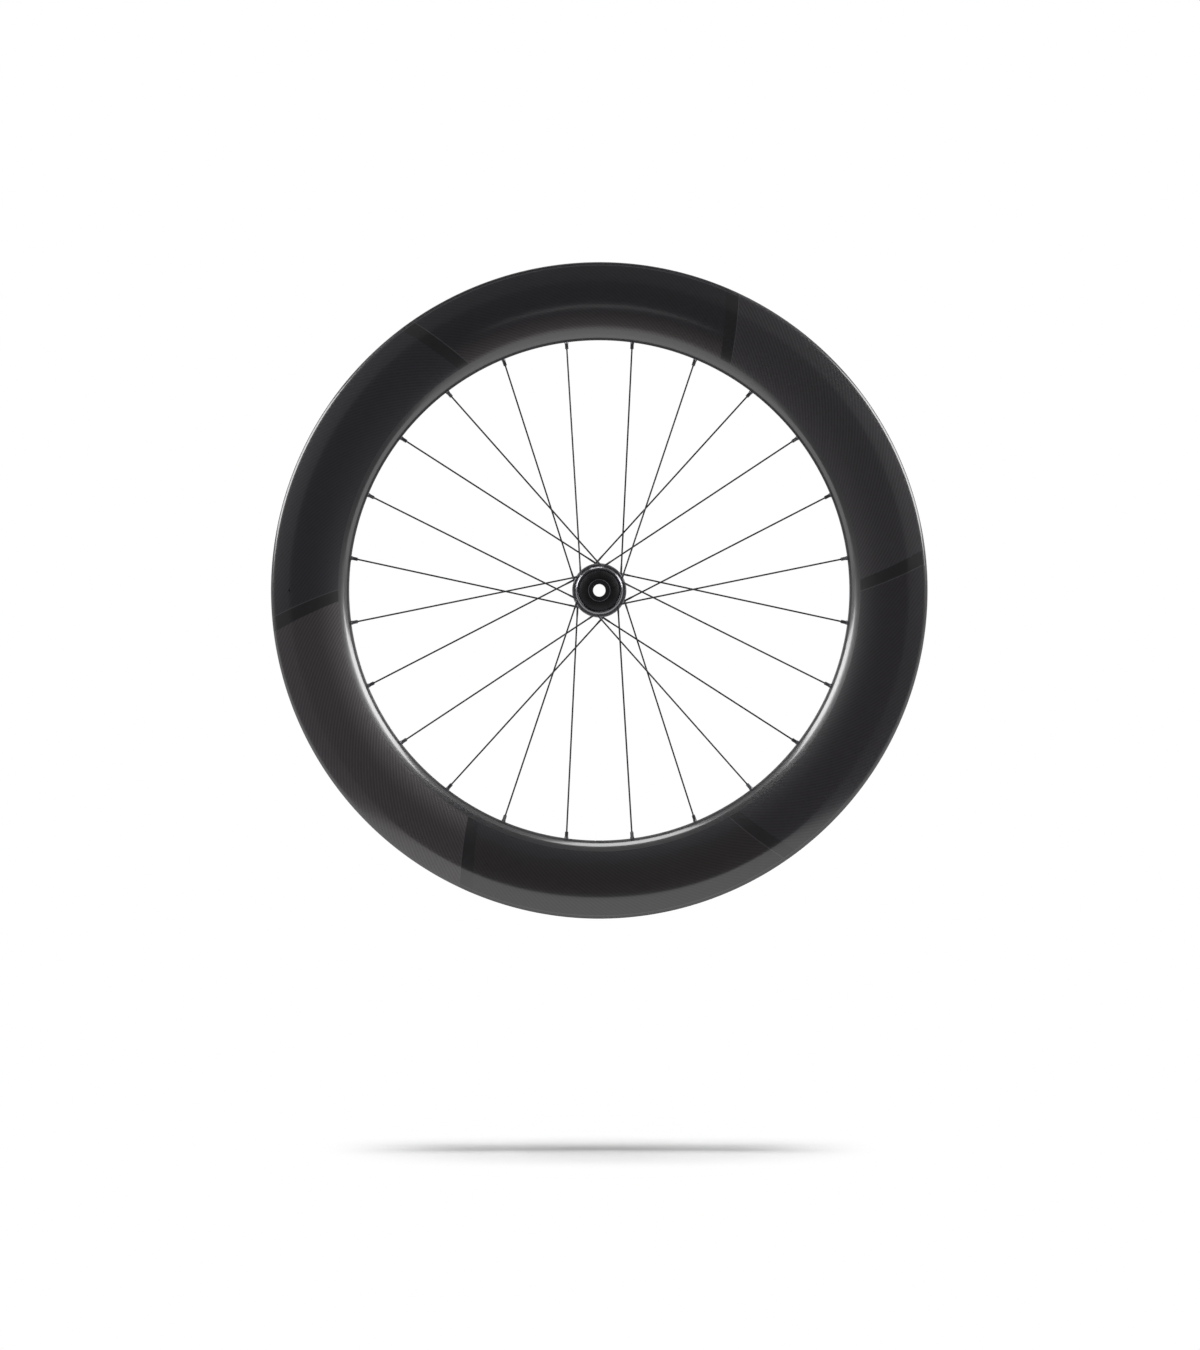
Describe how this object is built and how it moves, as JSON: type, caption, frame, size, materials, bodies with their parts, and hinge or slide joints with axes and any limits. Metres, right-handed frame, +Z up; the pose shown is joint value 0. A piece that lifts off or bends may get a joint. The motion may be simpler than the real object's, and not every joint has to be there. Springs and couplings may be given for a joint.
{
  "type": "bicycle wheel",
  "caption": "Deep hollow carbon front wheel, bare of tyre and rotor, with crossed straight-pull spokes and a disc-brake hub that spins on cartridge bearings round a through-axle bore.",
  "frame": {"origin": "centre of the wheel, on the axle and in the rim's middle plane", "axes": "+Y along the axle towards the brake side, +Z up, with the valve hole pointing down"},
  "size_m": [0.6339, 0.1, 0.634],
  "materials": {
    "clear_coated_carbon": "satin clear coat over woven carbon",
    "strip_plastic": "matt",
    "black_anodised_aluminium": "satin black anodised",
    "axle_aluminium": "turned",
    "black_spoke_steel": "black coated",
    "black_nipple_alloy": "black anodised",
    "bearing_steel": "ground",
    "polished_steel": "polished",
    "cage_nylon": "moulded",
    "seal_rubber": "matt"
  },
  "bodies": {
    "axle_set": {"axle_tube": "axle_aluminium", "brake_end_cap": "black_anodised_aluminium", "plain_end_cap": "black_anodised_aluminium", "brake_o_ring": "seal_rubber", "plain_o_ring": "seal_rubber", "brake_bearing_inner_race": "bearing_steel", "plain_bearing_inner_race": "bearing_steel"},
    "wheel": {"rim": "clear_coated_carbon", "rim_strip": "strip_plastic", "hub_shell": "black_anodised_aluminium", "brake_nipples": "black_nipple_alloy", "plain_nipples": "black_nipple_alloy", "brake_bearing_outer_race": "bearing_steel", "brake_bearing_outer_seal": "seal_rubber", "brake_bearing_inner_seal": "seal_rubber", "plain_bearing_outer_race": "bearing_steel", "plain_bearing_outer_seal": "seal_rubber", "plain_bearing_inner_seal": "seal_rubber", "brake_spoke_01": "black_spoke_steel", "brake_spoke_02": "black_spoke_steel", "brake_spoke_03": "black_spoke_steel", "brake_spoke_04": "black_spoke_steel", "brake_spoke_05": "black_spoke_steel", "brake_spoke_06": "black_spoke_steel", "brake_spoke_07": "black_spoke_steel", "brake_spoke_08": "black_spoke_steel", "brake_spoke_09": "black_spoke_steel", "brake_spoke_10": "black_spoke_steel", "brake_spoke_11": "black_spoke_steel", "brake_spoke_12": "black_spoke_steel", "plain_spoke_01": "black_spoke_steel", "plain_spoke_02": "black_spoke_steel", "plain_spoke_03": "black_spoke_steel", "plain_spoke_04": "black_spoke_steel", "plain_spoke_05": "black_spoke_steel", "plain_spoke_06": "black_spoke_steel", "plain_spoke_07": "black_spoke_steel", "plain_spoke_08": "black_spoke_steel", "plain_spoke_09": "black_spoke_steel", "plain_spoke_10": "black_spoke_steel", "plain_spoke_11": "black_spoke_steel", "plain_spoke_12": "black_spoke_steel"},
    "brake_ball_set": {"brake_bearing_balls": "polished_steel", "brake_bearing_cage": "cage_nylon"},
    "plain_ball_set": {"plain_bearing_balls": "polished_steel", "plain_bearing_cage": "cage_nylon"}
  },
  "joints": [
    {"name": "wheel_spin", "type": "hinge", "parent": "axle_set", "child": "wheel", "pos_m": [0, 0, 0], "axis": [0, 1, 0], "continuous": true},
    {"name": "brake_balls_orbit", "type": "hinge", "parent": "axle_set", "child": "brake_ball_set", "pos_m": [0, 0, 0], "axis": [0, 1, 0], "continuous": true},
    {"name": "plain_balls_orbit", "type": "hinge", "parent": "axle_set", "child": "plain_ball_set", "pos_m": [0, 0, 0], "axis": [0, 1, 0], "continuous": true}
  ],
  "couplings": [
    {"joint": "brake_balls_orbit", "follows": "wheel_spin", "ratio": 0.56465},
    {"joint": "plain_balls_orbit", "follows": "wheel_spin", "ratio": 0.56465}
  ]
}
